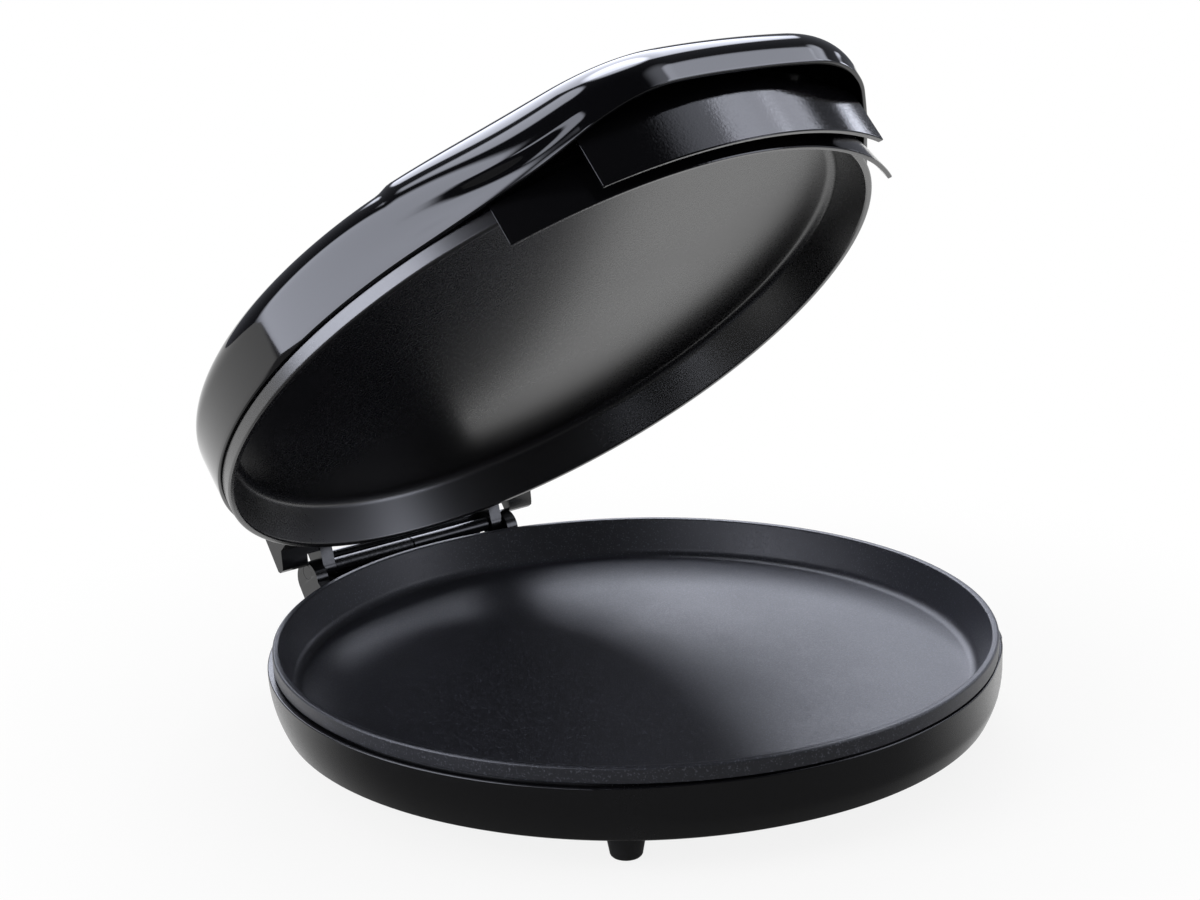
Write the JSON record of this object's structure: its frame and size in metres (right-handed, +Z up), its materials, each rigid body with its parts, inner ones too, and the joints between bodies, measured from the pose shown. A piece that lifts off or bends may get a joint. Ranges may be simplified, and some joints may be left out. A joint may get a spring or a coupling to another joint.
{
  "type": "electric pizza maker",
  "caption": "Round electric pizza maker: a domed, hinged lid with a jutting front brow and curved handle panels opens over a shallow baking plate on a footed base.",
  "frame": {"origin": "centre of the footprint of the whole appliance, on the table plane under the feet", "axes": "+Z up, -Y to the front where the handle is, +X to the right seen from the front, along the hinge pin"},
  "size_m": [0.3148, 0.3364, 0.3013],
  "materials": {
    "lid_gloss": "high gloss moulded black",
    "handle_gloss": "gloss black with a faint grain",
    "housing_plastic": "satin moulded black",
    "hinge_plastic": "semi-gloss black",
    "nonstick_coating": "speckled non-stick coating",
    "lid_plate_coating": "smooth satin non-stick coating",
    "sleeve_textured": "fine textured black paint",
    "sleeve_smooth": "smooth semi-gloss black paint",
    "pin_steel": "drawn steel",
    "zinc_steel": "zinc plated",
    "element_sheath": "dull heat-darkened sheath",
    "reflector_aluminium": "aluminised sheet",
    "ceramic_body": "unglazed ceramic",
    "duct_silicone": "silicone",
    "gland_rubber": "moulded rubber",
    "foot_rubber": "moulded rubber",
    "lamp_red": "clear red lens",
    "lamp_green": "clear green lens"
  },
  "bodies": {
    "base": {"base_housing": "housing_plastic", "lower_plate": "nonstick_coating", "lower_heating_element": "element_sheath", "lower_element_clips": "zinc_steel", "lower_reflector": "reflector_aluminium", "lower_plate_studs": "zinc_steel", "lower_plate_nuts": "zinc_steel", "lower_thermostat": "ceramic_body", "thermal_fuse": "ceramic_body", "terminal_block": "ceramic_body", "wiring_duct": "duct_silicone", "cord_gland": "gland_rubber", "foot_front_left": "foot_rubber", "foot_front_right": "foot_rubber", "foot_rear_left": "foot_rubber", "foot_rear_right": "foot_rubber", "foot_screws": "zinc_steel", "hinge_bracket_left": "hinge_plastic", "hinge_bracket_right": "hinge_plastic", "bracket_screws": "zinc_steel", "hinge_cover": "hinge_plastic", "hinge_pin": "pin_steel", "hinge_sleeve_left": "sleeve_textured", "hinge_sleeve_right": "sleeve_smooth", "pin_plug_left": "hinge_plastic", "pin_plug_right": "hinge_plastic"},
    "lid": {"lid_shell": "lid_gloss", "lid_frame": "housing_plastic", "upper_plate": "lid_plate_coating", "upper_heating_element": "element_sheath", "upper_element_clips": "zinc_steel", "upper_reflector": "reflector_aluminium", "upper_plate_studs": "zinc_steel", "upper_plate_nuts": "zinc_steel", "upper_thermostat": "ceramic_body", "handle_grip": "handle_gloss", "handle_guard": "handle_gloss", "handle_screws": "zinc_steel", "hinge_arm_left": "hinge_plastic", "hinge_arm_right": "hinge_plastic", "power_lamp": "lamp_red", "ready_lamp": "lamp_green"}
  },
  "joints": [
    {"name": "lid_hinge", "type": "hinge", "parent": "base", "child": "lid", "pos_m": [0, 0.15052, 0.0448], "axis": [-1, 0, 0], "range_deg": [-42.9, 57.1]}
  ]
}
